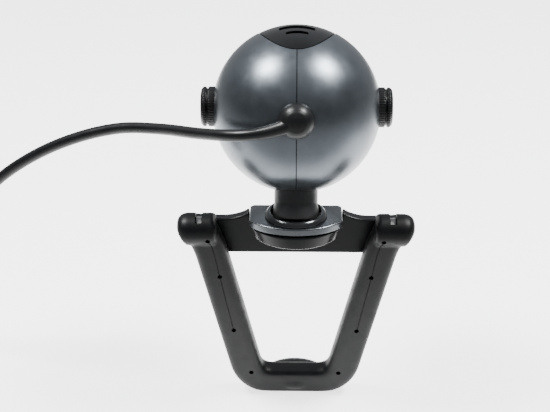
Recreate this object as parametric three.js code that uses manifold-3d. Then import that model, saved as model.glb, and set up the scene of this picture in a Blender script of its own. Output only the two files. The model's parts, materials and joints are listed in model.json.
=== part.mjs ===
// Ball-headed USB webcam on a clip stand: a swivelling, tilting head over a cross bar
// and a folding wire-cored loop. Millimetres, +Z up, +Y is the way the lens looks.
import * as THREE from 'three';
import { mergeVertices } from 'three/addons/utils/BufferGeometryUtils.js';
import Module from 'manifold-3d';

const wasm = await Module();
wasm.setup();

// ---- driving dimensions ----
const GAP = 0.3;                                  // air between neighbouring pieces
const ROUND = 20;                                 // facets round a turned piece
const REACH = 45;                                 // how far a cutter runs, past every piece in its frame

// tilt joint centre, above the foot that the stand rests on
const JOINT = new THREE.Vector3(0, -14.34, 77.9);
const LEAN = THREE.MathUtils.degToRad(24.5);      // head leans forward at rest
const OPTIC_RISE = THREE.MathUtils.degToRad(12);  // lens axis above the head's equator

// head
const HEAD_R = 29;
const HEAD_WALL = 2.4;
const HEAD_OFFSET = 35.5;                         // tilt joint to the ball's centre
const BAND_HALF = 13.1;                           // half-width of the black band over the crown
const BAND_AXIS = THREE.MathUtils.degToRad(23);   // the way its outline is cut, behind the crown
const BAND_LENGTH = 26;                           // long half-axis of its elliptical end
const BAND_FORE = 12.65;                          // centre of that ellipse, ahead of the cutting axis
const FASCIA_R = 17;
const LIGHT_Z = 13.6;                             // status light above the lens axis
const SHAFT_RISE = 0.6;                           // focus shaft above the ball's centre
const KNOB_SEAT = 27.2;                           // floor of the recess that each knob sits in

// focus drive
const MODULE = 0.6;
const TEETH = 10;
const PITCH_R = MODULE * TEETH / 2;
const TOOTH_ADD = 0.5;
const TOOTH_DED = 0.75;
const BACKLASH = 0.22;                            // taken off each tooth at the pitch line
const PINION_X = -8;
const PINION_HALF = 1.5;
const SHAFT_R = 1.5;
const KNOB_R = 6.9;

// neck and ball joint
const NECK_R = 7.5;
const BALL_R = 7.9;
const BALL_CUT = -2.5;
const LINER_IN = 8.15;
const LINER_OUT = 8.65;
const CUP_R = 8.95;
const COLLAR_R = 9.6;
const LIP_R = 9.9;

// plate, pod and cross bar, from the tilt joint
const PLATE_TOP = -1.5;
const PLATE_T = 2.7;
const PLATE_HALF = 16;
const PLATE_FAR = 8.8;
const PLATE_SIDE_END = -3.9;
const PLATE_NEAR = -11.2;
const POD_HALF = 15.4;
const POD_TAPER = 0.9;                            // its underside's size beside its top's
const POD_TOP = PLATE_TOP - PLATE_T - GAP;
const POD_BOTTOM = -9;
const BAR_BACK = 5;
const BAR_FRONT = 9.2;
const BAR_BOTTOM = -18.5;
const BAR_TOP = -4.9;
const BAR_HALF = 36.2;
const LIP_HALF = 22.4;                            // half of its flat back face, between the loop's arms
const BAR_DEEP_HALF = 25.5;                       // half-width of the deep middle of the bar
const SCREW_X = 11.6;
const SCREW_Y = 2.6;

// loop
const HINGE_Y = -1.7;
const HINGE_Z = -6;
const KNUCKLE_R = 5.6;
const KNUCKLE_IN = 27.6;
const KNUCKLE_OUT = 40.4;
const TAB_X = 33.4;                               // middle of each hinge tab, in a slot in its knuckle
const TAB_T = 1.8;
const TAB_R = 4.2;
const PIN_R = 1.6;
const LOOP_LEAN = THREE.MathUtils.degToRad(10);
const ARM_TOP_X = 31.5;
const ARM_SLOPE = 0.222;                          // how far an arm closes in for each mm down
const LOOP_DROP = 68.4;                           // hinge axis to the middle of the foot bar
const CORNER_R = 9;
const SLEEVE_W = 11.3;
const SLEEVE_D = 8;
const CORE_R = 1.1;

// lead
const LEAD_R = 2;
const COIL_X = -167;
const COIL_Y = 2;
const COIL_IN = 15;
const COIL_OUT = 32.8;
const COIL_BOTTOM = 1.2;
const COIL_TOP = 13.6;

// ---- helpers ----
const part = new THREE.Group();

function toSolid(geometry) {
  const bare = geometry.clone();
  bare.deleteAttribute('normal');
  bare.deleteAttribute('uv');
  const merged = mergeVertices(bare, 1e-4);
  return new wasm.Manifold(new wasm.Mesh({
    numProp: 3,
    vertProperties: Float32Array.from(merged.attributes.position.array),
    triVerts: Uint32Array.from(merged.index.array),
  }));
}

function toGeometry(solid) {
  const mesh = solid.getMesh();
  const geometry = new THREE.BufferGeometry();
  geometry.setAttribute('position', new THREE.BufferAttribute(mesh.vertProperties, 3));
  geometry.setIndex(new THREE.BufferAttribute(mesh.triVerts, 1));
  return geometry;
}

function cut(geometry, ...tools) {
  const solid = tools.reduce((rest, tool) => rest.subtract(toSolid(tool)), toSolid(geometry));
  return toGeometry(solid);
}

function join(...geometries) {
  const solid = geometries.map(toSolid).reduce((a, b) => a.add(b));
  return toGeometry(solid);
}

function common(a, b) {
  return toGeometry(toSolid(a).intersect(toSolid(b)));
}

function add(parent, name, geometry, color, roughness = 0.5, metalness = 0) {
  const material = new THREE.MeshStandardMaterial({ color, roughness, metalness });
  const mesh = new THREE.Mesh(geometry, material);
  mesh.name = name;
  parent.add(mesh);
  return mesh;
}

function box(x0, x1, y0, y1, z0, z1) {
  const geometry = new THREE.BoxGeometry(x1 - x0, y1 - y0, z1 - z0);
  return geometry.translate((x0 + x1) / 2, (y0 + y1) / 2, (z0 + z1) / 2);
}

// cylinder along Z from z0 to z1
function rodZ(r, z0, z1, n = ROUND) {
  const geometry = new THREE.CylinderGeometry(r, r, z1 - z0, n);
  return geometry.rotateX(Math.PI / 2).translate(0, 0, (z0 + z1) / 2);
}

function rodX(r, x0, x1, n = ROUND) {
  return rodZ(r, x0, x1, n).rotateY(Math.PI / 2);
}

// along Y from y0 to y1
function rodY(r, y0, y1, n = ROUND) {
  return rodZ(r, -y1, -y0, n).rotateX(Math.PI / 2);
}

// turned about Z from [r, z] pairs
function turned(profile, n = ROUND) {
  const points = profile.map(([r, z]) => new THREE.Vector2(r, z));
  if (THREE.ShapeUtils.area(points) < 0) points.reverse();
  return new THREE.LatheGeometry(points, n).rotateX(Math.PI / 2);
}

// turned about Y from [r, y] pairs
function turnedY(profile, n = ROUND) {
  return turned(profile.map(([r, y]) => [r, -y]), n).rotateX(Math.PI / 2);
}

// an arc about the origin as [r, z] pairs, between two angles above the equator
function arc(r, from, to, steps) {
  const pairs = [];
  for (let i = 0; i <= steps; i++) {
    const a = THREE.MathUtils.degToRad(from + (to - from) * i / steps);
    pairs.push([r * Math.cos(a), r * Math.sin(a)]);
  }
  return pairs;
}

function ball(r, n = 32) {
  return new THREE.SphereGeometry(r, n, n / 2).rotateX(Math.PI / 2);
}

// a flat outline in XY, from z0 to z1
function slab(shape, z0, z1, curveSegments = 10) {
  const geometry = new THREE.ExtrudeGeometry(shape, {
    depth: z1 - z0, bevelEnabled: false, curveSegments,
  });
  return geometry.translate(0, 0, z0);
}

function swept(shape, path, steps) {
  return new THREE.ExtrudeGeometry(shape, {
    steps, bevelEnabled: false, extrudePath: path, curveSegments: 3,
  });
}

function disc(r, sides) {
  const shape = new THREE.Shape();
  for (let i = 0; i < sides; i++) {
    const a = 2 * Math.PI * i / sides;
    shape[i ? 'lineTo' : 'moveTo'](r * Math.cos(a), r * Math.sin(a));
  }
  shape.closePath();
  return shape;
}

// the ends of a span on one side of the middle plane, in rising order
function outward(side, near, far) {
  return side < 0 ? [-far, -near] : [near, far];
}

// ---- frames ----
const base = new THREE.Group();
base.position.copy(JOINT);
part.add(base);

const head = new THREE.Group();
head.position.set(0, HEAD_OFFSET * Math.sin(LEAN), HEAD_OFFSET * Math.cos(LEAN));
head.rotation.x = -LEAN;
base.add(head);

// optical frame: X along the focus shaft, Y along the lens axis
const optic = new THREE.Group();
optic.position.z = SHAFT_RISE;
optic.rotation.x = OPTIC_RISE;
head.add(optic);

function inOptic(geometry) {
  return geometry.rotateX(OPTIC_RISE).translate(0, 0, SHAFT_RISE);
}

// ---- head shells, band and fascia ----
// the black band's outline, with an elliptical end behind the crown
function bandCutter(inset) {
  const half = BAND_HALF - inset;
  const shape = new THREE.Shape();
  shape.moveTo(half, REACH);
  shape.lineTo(-half, REACH);
  shape.lineTo(-half, BAND_FORE);
  shape.absellipse(0, BAND_FORE, half, BAND_LENGTH - inset, Math.PI, 2 * Math.PI, false);
  shape.closePath();
  return slab(shape, 6, REACH, 9).rotateX(BAND_AXIS);
}

function fasciaCutter(r) {
  return inOptic(rodY(r, 5, REACH, 28));
}

function hollowBall(outer, inner) {
  return cut(ball(outer), ball(inner, 18));
}

function headShell(side) {
  const [x0, x1] = outward(side, GAP / 2, REACH);
  const [seat0, seat1] = outward(side, KNOB_SEAT, REACH);
  return cut(
    common(hollowBall(HEAD_R, HEAD_R - HEAD_WALL), box(x0, x1, -REACH, REACH, -28, REACH)),
    bandCutter(-GAP / 2),
    fasciaCutter(FASCIA_R + GAP / 2),
    inOptic(rodY(4.4, -REACH, -5, 20)),
    inOptic(rodX(2.2, -REACH, REACH, 16)),
    inOptic(rodX(KNOB_R + 0.4, seat0, seat1)),
    rodZ(NECK_R + GAP, -REACH, -10),
  );
}

function crownBand() {
  const wall = hollowBall(HEAD_R - 0.1, HEAD_R - HEAD_WALL);
  const slot = (half, width, back) => {
    const angle = THREE.MathUtils.degToRad(back);
    return box(-half, half, -width / 2, width / 2, 20, REACH).rotateX(angle);
  };
  return cut(
    common(wall, bandCutter(GAP / 2)),
    fasciaCutter(FASCIA_R + GAP / 2),
    slot(6.1, 3.4, 21.6),
    slot(3.7, 1.8, 31.4),
  );
}

function fascia() {
  const wall = hollowBall(HEAD_R - 0.1, HEAD_R - HEAD_WALL - 0.6);
  return cut(
    common(wall, fasciaCutter(FASCIA_R - GAP / 2)),
    inOptic(rodY(10.4, 5, REACH)),
    inOptic(rodY(1.3, 5, REACH, 12).translate(0, 0, LIGHT_Z)),
  );
}

const GUNMETAL = 0x6f7378;
const BLACK = 0x16171a;
const STEEL = 0x9a9da0;
add(head, 'head_shell_left', headShell(-1), GUNMETAL, 0.35, 0.8);
add(head, 'head_shell_right', headShell(1), GUNMETAL, 0.35, 0.8);
add(head, 'crown_band', crownBand(), BLACK, 0.2);
add(head, 'front_fascia', fascia(), BLACK, 0.2);

// ---- lens and focus drive, in the optical frame ----
add(optic, 'lens_tube', turnedY([[9, 14], [10.1, 14], [10.1, 30], [9, 30], [9, 14]]), BLACK, 0.4);

function rackTeeth() {
  const pitch = Math.PI * MODULE;
  const height = PITCH_R;
  const shape = new THREE.Shape();
  const start = -2.5 * pitch;
  const halfRoot = pitch / 4 + TOOTH_DED * 0.36 - BACKLASH / 2;
  const halfTip = pitch / 4 - TOOTH_ADD * 0.36 - BACKLASH / 2;
  shape.moveTo(start - 0.2, height + 2.4);
  shape.lineTo(start - 0.2, height + TOOTH_DED);
  for (let i = -2; i <= 2; i++) {
    const middle = i * pitch;
    shape.lineTo(middle - halfRoot, height + TOOTH_DED);
    shape.lineTo(middle - halfTip, height - TOOTH_ADD);
    shape.lineTo(middle + halfTip, height - TOOTH_ADD);
    shape.lineTo(middle + halfRoot, height + TOOTH_DED);
  }
  shape.lineTo(10, height + TOOTH_DED);
  shape.lineTo(10, height + 2.4);
  shape.closePath();
  // the outline lies in the optical frame's Y and Z, and is as wide as the pinion
  const geometry = slab(shape, -PINION_HALF, PINION_HALF);
  return geometry.rotateX(Math.PI / 2).rotateZ(Math.PI / 2).translate(PINION_X, 0, 0);
}

function carriage() {
  const ring = [[6.8, 8], [10.4, 8], [10.4, 12.4], [8.6, 12.4], [8.6, 28], [6.8, 28], [6.8, 8]];
  return join(turnedY(ring), rackTeeth());
}
add(optic, 'lens_carriage', carriage(), 0x202226, 0.5);

const GLASS = 0x9fb4c4;
const REAR_LENS = [[0, 18], [6.5, 18.6], [6.5, 20], [0, 20]];
const FRONT_LENS = [[0, 24.2], [6.5, 24.2], [6.5, 25.4], [3.6, 26.5], [0, 26.9]];
const LENS_RING = [[4.8, 27.2], [6.4, 26], [6.5, 28.5], [8.6, 28.4], [8.6, 29.6], [5.4, 29.2], [4.8, 27.2]];
const BEZEL = [
  [9, 30.3], [10.5, 30.3], [10.5, 28], [12.4, 26.7], [12.4, 28.6], [11, 31], [9, 31], [9, 30.3],
];
add(optic, 'lens_rear_element', turnedY(REAR_LENS), GLASS, 0.05);
add(optic, 'lens_front_element', turnedY(FRONT_LENS), GLASS, 0.05);
add(optic, 'lens_retaining_ring', turnedY(LENS_RING), BLACK, 0.3);
add(optic, 'lens_bezel', turnedY(BEZEL), 0x8c9094, 0.3, 0.8);

function pinionShape() {
  const shape = new THREE.Shape();
  const halfPitch = Math.PI * MODULE / 4 - BACKLASH / 2;
  const rootR = PITCH_R - TOOTH_DED;
  const tipR = PITCH_R + TOOTH_ADD;
  for (let i = 0; i < TEETH; i++) {
    // a space, not a tooth, faces the rack's middle tooth at rest
    const middle = Math.PI / 2 + (i + 0.5) * 2 * Math.PI / TEETH;
    const points = [
      [rootR, -(halfPitch + 0.1) / rootR],
      [PITCH_R, -halfPitch / PITCH_R],
      [tipR, -(halfPitch - 0.24) / tipR],
      [tipR, (halfPitch - 0.24) / tipR],
      [PITCH_R, halfPitch / PITCH_R],
      [rootR, (halfPitch + 0.1) / rootR],
    ];
    points.forEach(([r, a], j) => {
      const x = r * Math.cos(middle + a);
      const y = r * Math.sin(middle + a);
      shape[i || j ? 'lineTo' : 'moveTo'](x, y);
    });
  }
  shape.closePath();
  return shape;
}

function pinion() {
  const gear = slab(pinionShape(), -PINION_HALF, PINION_HALF);
  const upright = gear.rotateX(Math.PI / 2).rotateZ(Math.PI / 2).translate(PINION_X, 0, 0);
  return cut(upright, rodX(SHAFT_R + 0.1, -20, 20, 16));
}
add(optic, 'focus_pinion', pinion(), 0xd8d4c8, 0.5);
add(optic, 'focus_shaft', rodX(SHAFT_R, -31.7, 31.7, 16), STEEL, 0.3, 1);

// a knob with a shallow groove round its rim, blind-bored for the shaft
function knob(side) {
  const bore = SHAFT_R + 0.1;
  const groove = KNOB_R - 0.7;
  const profile = [
    [0, 32], [bore, 32], [bore, 29.2], [3, 29.2], [5, 27.5], [KNOB_R, 27.6], [KNOB_R, 30.2], [groove, 30.4],
    [groove, 30.8], [KNOB_R, 31], [KNOB_R, 32], [5.4, 33], [0, 33],
  ];
  return turned(profile).rotateY(side * Math.PI / 2);
}
add(optic, 'focus_knob_left', knob(-1), BLACK, 0.4);
add(optic, 'focus_knob_right', knob(1), BLACK, 0.4);

// ---- boards and small pieces in the head ----
add(optic, 'sensor_board', box(-6, 6, 3.4, 4.6, -6, 6), 0x1d5a34, 0.6);
add(optic, 'image_sensor', box(-3, 3, 4.9, 6.1, -3, 3), 0x2a2a30, 0.2);
add(optic, 'main_board', box(-12, 12, -9.6, -8.2, -13, 12), 0x1d5a34, 0.6);
add(optic, 'board_connector', box(-5, 5, -14.2, -9.9, -4, 2), 0xd9d6cc, 0.6);
add(optic, 'status_light', rodY(1, 20.5, 25.4, 12).translate(0, 0, LIGHT_Z), 0x3f7fd0, 0.2);
const microphone = add(head, 'microphone', rodZ(3, 20.5, 25.5, 20), 0xb8babc, 0.4, 0.9);
microphone.rotation.x = THREE.MathUtils.degToRad(21);

// ---- cable boss with its side strain relief ----
const SLEEVE_START = new THREE.Vector3(0, -31.8, 0);
const SLEEVE_END = new THREE.Vector3(-12.2, -31, -3.7);

function cableBoss() {
  const dome = turnedY([
    [0, -23.5], [4, -23.5], [4, -28.9], [6.2, -28.9], [6.2, -30.4], [5.4, -32], [3.6, -33.4], [0, -34.2],
  ]);
  const along = SLEEVE_END.clone().sub(SLEEVE_START);
  const up = THREE.Object3D.DEFAULT_UP;
  const sleeve = new THREE.CylinderGeometry(2.2, 2.9, along.length(), 16);
  sleeve.translate(0, along.length() / 2, 0);
  sleeve.applyQuaternion(new THREE.Quaternion().setFromUnitVectors(up, along.normalize()));
  sleeve.translate(SLEEVE_START.x, SLEEVE_START.y, SLEEVE_START.z);
  return join(dome, sleeve);
}
add(optic, 'cable_boss', cableBoss(), BLACK, 0.3);

// ---- neck with its ball end ----
function neck() {
  const ballEnd = arc(BALL_R, -18.4, 18.4, 6).map(([r, z]) => [r, z - HEAD_OFFSET]);
  return turned([
    [0, -HEAD_OFFSET + BALL_CUT], ...ballEnd,
    [NECK_R, -HEAD_OFFSET + 2.9], [NECK_R, -24.3], [9.4, -24.3], [9.4, -23], [0, -23],
  ]);
}
add(head, 'neck', neck(), 0x3a3b3e, 0.4);

// ---- collar, its liner and its screw ----
function collar() {
  const cup = arc(CUP_R, -42, -8, 6);
  return turned([
    [1.8, -6], [CUP_R * Math.cos(THREE.MathUtils.degToRad(42)), -6], ...cup,
    [8.3, -0.8], [8.65, 0], [9.2, 0.6], [LIP_R, 0.6], [LIP_R, -0.2], [10.7, -0.7], [10.7, PLATE_TOP + GAP],
    [COLLAR_R, PLATE_TOP + GAP], [COLLAR_R, -5.4], [8, -7.2], [1.8, -7.2], [1.8, -6],
  ]);
}
add(base, 'collar', collar(), 0x3c3e42, 0.25, 0.6);

function liner() {
  const inside = arc(LINER_IN, -10, -40, 5);
  const outside = arc(LINER_OUT, -40, -10, 5);
  return turned([...outside, ...inside, outside[0]]);
}
add(base, 'friction_liner', liner(), 0xe4e2da, 0.6);

const SWIVEL_SCREW = [[0, -8.9], [3, -8.9], [3, -8.3], [1.5, -8.3], [1.5, -6.3], [0, -6.3]];
add(base, 'swivel_screw', turned(SWIVEL_SCREW), STEEL, 0.3, 1);

// ---- plate, pod and their screws ----
// a D outline: flat sides and front, one broad arc at the back
function dOutline(half, front, sideEnd, back, corner) {
  const shape = new THREE.Shape();
  const drop = sideEnd - back;
  const r = (half * half + drop * drop) / (2 * drop);
  const spread = Math.asin(half / r);
  shape.moveTo(half, sideEnd);
  shape.lineTo(half, front - corner);
  shape.lineTo(half - corner, front);
  shape.lineTo(-half + corner, front);
  shape.lineTo(-half, front - corner);
  shape.lineTo(-half, sideEnd);
  shape.absarc(0, back + r, r, 1.5 * Math.PI - spread, 1.5 * Math.PI + spread, false);
  return shape;
}

function screwHoles(r, z0, z1) {
  return [-1, 1].map((side) => rodZ(r, z0, z1, 14).translate(side * SCREW_X, SCREW_Y, 0));
}

function topPlate() {
  const outline = dOutline(PLATE_HALF, PLATE_FAR, PLATE_SIDE_END, PLATE_NEAR, 1);
  const plate = slab(outline, PLATE_TOP - PLATE_T, PLATE_TOP, 14);
  return cut(plate, rodZ(COLLAR_R + GAP, -10, 5), ...screwHoles(1.3, -10, PLATE_TOP - 0.9));
}
add(base, 'top_plate', topPlate(), 0x55585d, 0.3, 0.8);

function pod() {
  const outline = dOutline(POD_HALF, BAR_BACK - GAP, -3.2, -12.2, 0.5);
  const body = slab(outline, POD_BOTTOM, POD_TOP, 14);
  const place = body.attributes.position;
  const front = BAR_BACK - GAP;
  for (let i = 0; i < place.count; i++) {
    if (place.getZ(i) > POD_TOP - 1) continue;
    place.setX(i, place.getX(i) * POD_TAPER);
    place.setY(i, front + (place.getY(i) - front) * (1 + POD_TAPER) / 2);
  }
  return cut(
    body,
    rodZ(COLLAR_R + GAP, -7.6, 5),
    rodZ(1.9, -12, 0, 16),
    rodZ(3.4, -12, -8.15, 20),
    ...screwHoles(1.3, -12, 0),
    ...screwHoles(1.8, -12, -7.6),
  );
}
add(base, 'pod', pod(), 0x1b1c1f, 0.2);

for (const [name, side] of [['plate_screw_left', -1], ['plate_screw_right', 1]]) {
  const screw = turned([[0, -8.8], [1.5, -8.8], [1.5, -7.9], [1, -7.9], [1, -2.7], [0, -2.7]], 14);
  add(base, name, screw.translate(side * SCREW_X, SCREW_Y, 0), STEEL, 0.3, 1);
}

// ---- cross bar, hinge tabs and pins ----
function crossBar() {
  const shape = new THREE.Shape();
  const notch = BAR_DEEP_HALF + 0.8;
  shape.moveTo(-BAR_HALF, -12);
  shape.lineTo(-notch, -13);
  shape.lineTo(-BAR_DEEP_HALF, BAR_BOTTOM);
  shape.lineTo(BAR_DEEP_HALF, BAR_BOTTOM);
  shape.lineTo(notch, -13);
  shape.lineTo(BAR_HALF, -12);
  shape.lineTo(BAR_HALF, BAR_TOP);
  shape.quadraticCurveTo(27, BAR_TOP - 0.6, 22.5, BAR_TOP);
  shape.quadraticCurveTo(19, BAR_TOP + 0.6, PLATE_HALF + 0.6, -3.2);
  shape.lineTo(PLATE_HALF + 0.4, POD_TOP);
  shape.lineTo(-PLATE_HALF - 0.4, POD_TOP);
  shape.lineTo(-PLATE_HALF - 0.6, -3.2);
  shape.quadraticCurveTo(-19, BAR_TOP + 0.6, -22.5, BAR_TOP);
  shape.quadraticCurveTo(-27, BAR_TOP - 0.6, -BAR_HALF, BAR_TOP);
  shape.closePath();
  const bar = slab(shape, -BAR_FRONT, -BAR_BACK, 4).rotateX(Math.PI / 2);
  const pockets = [-1, 1].map((side) => {
    const [x0, x1] = outward(side, TAB_X - TAB_T / 2 - GAP, TAB_X + TAB_T / 2 + GAP);
    return box(x0, x1, BAR_BACK - 1, BAR_BACK + 2.5, -10.8, -6.5);
  });
  // the lip's back face is set back where the loop's arms pass behind it
  const reliefs = [-1, 1].map((side) => {
    const [x0, x1] = outward(side, LIP_HALF, 40);
    return box(x0, x1, BAR_BACK - 1, BAR_BACK + 0.6, -20, -12.9);
  });
  return cut(bar, rodZ(COLLAR_R + GAP, -7.6, 5), ...pockets, ...reliefs);
}
add(base, 'cross_bar', crossBar(), BLACK, 0.3);

// an outline in the Y and Z of a frame, from x0 to x1
function slabX(shape, x0, x1, curveSegments) {
  return slab(shape, x0, x1, curveSegments).rotateX(Math.PI / 2).rotateZ(Math.PI / 2);
}

// a flat tab from the bar's pocket to the hinge axis, with a round end there
function hingeTab(side) {
  const shape = new THREE.Shape();
  shape.moveTo(BAR_BACK + 2.2, -10.5);
  shape.lineTo(BAR_BACK + 2.2, -6.8);
  shape.lineTo(BAR_BACK - 1.6, -6.8);
  shape.absarc(HINGE_Y, HINGE_Z, TAB_R, 0.15, 1.5 * Math.PI, false);
  shape.closePath();
  const [x0, x1] = outward(side, TAB_X - TAB_T / 2, TAB_X + TAB_T / 2);
  return cut(slabX(shape, x0, x1, 12), rodX(PIN_R + GAP, x0 - 1, x1 + 1, 16).translate(0, HINGE_Y, HINGE_Z));
}

for (const [word, side] of [['left', -1], ['right', 1]]) {
  const [x0, x1] = outward(side, KNUCKLE_IN + 1.1, KNUCKLE_OUT - 2.3);
  add(base, `hinge_tab_${word}`, hingeTab(side), STEEL, 0.4, 1);
  add(base, `hinge_pin_${word}`, rodX(PIN_R, x0, x1, 16).translate(0, HINGE_Y, HINGE_Z), STEEL, 0.3, 1);
}

// ---- folding loop ----
const loop = new THREE.Group();
loop.position.set(0, HINGE_Y, HINGE_Z);
loop.rotation.x = LOOP_LEAN;
base.add(loop);
const loopOrigin = loop.position.clone().add(JOINT);

// middle line of one arm: straight, then flaring outward near the knuckle
const FLARE_DROP = 10;
const FLARE = 0.014;
function armX(drop) {
  return ARM_TOP_X - ARM_SLOPE * drop + FLARE * Math.max(0, FLARE_DROP - drop) ** 2;
}

// middle line of the loop, from the left knuckle round the foot to the right knuckle
function loopPath(start) {
  const footX = ARM_TOP_X - ARM_SLOPE * LOOP_DROP;
  const down = new THREE.Vector3(ARM_SLOPE, 0, -1).normalize();
  const corner = new THREE.Vector3(-footX, 0, -LOOP_DROP);
  const bend = corner.clone().addScaledVector(down, -CORNER_R);
  const foot = corner.clone().add(new THREE.Vector3(CORNER_R, 0, 0));
  const flip = (v) => new THREE.Vector3(-v.x, v.y, v.z);
  const flare = [start, (start + FLARE_DROP) / 2, FLARE_DROP].map((drop) => (
    new THREE.Vector3(-armX(drop), 0, -drop)
  ));
  const path = new THREE.CurvePath();
  path.add(new THREE.LineCurve3(flare[0], flare[1]));
  path.add(new THREE.LineCurve3(flare[1], flare[2]));
  path.add(new THREE.LineCurve3(flare[2], bend));
  path.add(new THREE.QuadraticBezierCurve3(bend, corner, foot));
  path.add(new THREE.LineCurve3(foot, flip(foot)));
  path.add(new THREE.QuadraticBezierCurve3(flip(foot), flip(corner), flip(bend)));
  path.add(new THREE.LineCurve3(flip(bend), flip(flare[2])));
  path.add(new THREE.LineCurve3(flip(flare[2]), flip(flare[1])));
  path.add(new THREE.LineCurve3(flip(flare[1]), flip(flare[0])));
  return path;
}

// section of the sleeve: depth along X, width along Y, with cut corners
function sleeveSection() {
  const d = SLEEVE_D / 2;
  const w = SLEEVE_W / 2;
  const c = 2.2;
  const shape = new THREE.Shape();
  shape.moveTo(d, -w + c);
  shape.lineTo(d, w - c);
  shape.lineTo(d - c, w);
  shape.lineTo(-d + c, w);
  shape.lineTo(-d, w - c);
  shape.lineTo(-d, -w + c);
  shape.lineTo(-d + c, -w);
  shape.lineTo(d - c, -w);
  shape.closePath();
  return shape;
}

const HOLES = [[1.4, 2], [18, 1], [42.4, 0]];      // how far down, and how far in from the arm's middle
function loopSleeve() {
  const blunt = [
    [0, KNUCKLE_IN], [KNUCKLE_R - 1.2, KNUCKLE_IN], [KNUCKLE_R, KNUCKLE_IN + 1.2],
    [KNUCKLE_R, KNUCKLE_OUT - 2], [KNUCKLE_R - 1.4, KNUCKLE_OUT], [0, KNUCKLE_OUT],
  ];
  const knuckles = [-1, 1].map((side) => turned(blunt).rotateY(side * Math.PI / 2));
  const solid = join(swept(sleeveSection(), loopPath(1.5), 30), ...knuckles, footPad());
  const floor = box(-60, 60, -60, 60, -60, 0);
  floor.translate(0, -loopOrigin.y, -loopOrigin.z).rotateX(-LOOP_LEAN);
  const holes = HOLES.flatMap(([drop, inset]) => [-1, 1].map((side) => {
    const floor = drop > FLARE_DROP ? 0 : -KNUCKLE_R + 1.5;
    return rodY(0.8, -10, floor, 6).translate(side * (armX(drop) - inset), 0, -drop);
  }));
  const core = swept(disc(CORE_R + GAP, 6), loopPath(5.8), 30);
  return cut(solid, floor, core, ...[-1, 1].flatMap(knuckleCuts), ...holes);
}

// the pin's blind bore, and the slot that the tab stands in through the whole fold
function knuckleCuts(side) {
  const [pin0, pin1] = outward(side, KNUCKLE_IN + 0.8, KNUCKLE_OUT - 2);
  const [x0, x1] = outward(side, TAB_X - TAB_T / 2 - GAP, TAB_X + TAB_T / 2 + GAP);
  return [
    rodX(PIN_R + GAP, pin0, pin1, 16),
    rodX(TAB_R + GAP, x0, x1, 24),
    box(x0, x1, 0, 9, -7.2, 9),
    box(x0, x1, -3.2, 9, 0, 9),
  ];
}

// broad tongue at the foot, cut level with the surface that the stand rests on
function footPad() {
  const shape = new THREE.Shape();
  shape.moveTo(-11, -4);
  shape.lineTo(11, -4);
  shape.lineTo(11, 5);
  shape.quadraticCurveTo(10, 9, 6, 9.6);
  shape.lineTo(-6, 9.6);
  shape.quadraticCurveTo(-10, 9, -11, 5);
  shape.closePath();
  return slab(shape, -LOOP_DROP - 9, -LOOP_DROP + 2, 4);
}
add(loop, 'loop_sleeve', loopSleeve(), 0x1e1f21, 0.7);
add(loop, 'wire_core', swept(disc(CORE_R, 6), loopPath(6.4), 30), STEEL, 0.3, 1);

// ---- lead: tube, coil, tie and plug ----
// middle line of the stretch from the strain relief down to the coil
const LEAD_ROUTE = [
  [-12.6, -30.4, 113.5], [-17, -29.9, 112.8], [-23, -27.2, 111.6], [-32.5, -19, 108.8], [-47, -6, 105],
  [-62, 3, 101.4], [-78, 8, 95.6], [-94, 12, 87], [-109, 15.5, 75.4], [-121, 18.5, 60.8], [-130, 21.5, 44.2],
  [-137, 25, 27.6], [-143, 29, 14], [-150, 33, 6.6],
];
const LEAD_TAIL = [[-171.5, -14.6, 16.6], [-167.5, -15.2, 17.5], [-163.4, -15.2, 17.8]];

function leadTube(points, steps) {
  const curve = new THREE.CatmullRomCurve3(points.map((p) => new THREE.Vector3(...p)), false, 'centripetal');
  return swept(disc(LEAD_R, 8), curve, steps);
}

function leadTie() {
  const middle = (COIL_BOTTOM + COIL_TOP) / 2;
  const half = (COIL_TOP - COIL_BOTTOM) / 2;
  const outer = box(COIL_IN - 0.9, COIL_OUT + 0.9, -1.5, 1.5, middle - half - 0.9, middle + half + 0.9);
  const inner = box(COIL_IN - GAP, COIL_OUT + GAP, -3, 3, middle - half - GAP, middle + half + GAP);
  return cut(outer, inner).translate(COIL_X, COIL_Y, 0);
}

const COIL_SECTION = [
  [COIL_IN, COIL_BOTTOM], [COIL_OUT, COIL_BOTTOM], [COIL_OUT, COIL_TOP], [COIL_IN, COIL_TOP],
  [COIL_IN, COIL_BOTTOM],
];
const coilRing = turned(COIL_SECTION, 32).translate(COIL_X, COIL_Y, 0);
add(part, 'lead_tube', leadTube(LEAD_ROUTE, 32), BLACK, 0.5);
add(part, 'lead_coil', coilRing, BLACK, 0.5);
add(part, 'lead_tie', leadTie(), 0x222226, 0.8);
add(part, 'lead_tail', leadTube(LEAD_TAIL, 5), BLACK, 0.5);

// plug along +X, lying on the coil
const plug = new THREE.Group();
plug.position.set(-163, -15.2, 17.8);
part.add(plug);
const boot = rodX(2.6, 0, 7, 14);
const plugSkin = box(28.3, 40.3, -6, 6, -2.25, 2.25);
add(plug, 'plug_body', join(boot, box(6, 28, -7.8, 7.8, -3.9, 3.9)), BLACK, 0.4);
add(plug, 'plug_shell', cut(plugSkin, box(30, 42, -5.6, 5.6, -1.85, 1.85)), 0xc9ccce, 0.25, 1);
add(plug, 'plug_tongue', box(30.3, 39.8, -5.2, 5.2, -1.5, -0.2), 0xf0f0ea, 0.5);

export default part;
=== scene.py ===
"""Looks for the ball-headed USB webcam on its clip stand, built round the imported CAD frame."""
import json
from math import asin, cos, degrees, pi, radians, sin

import bmesh
import bpy
from mathutils import Matrix, Vector


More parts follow.
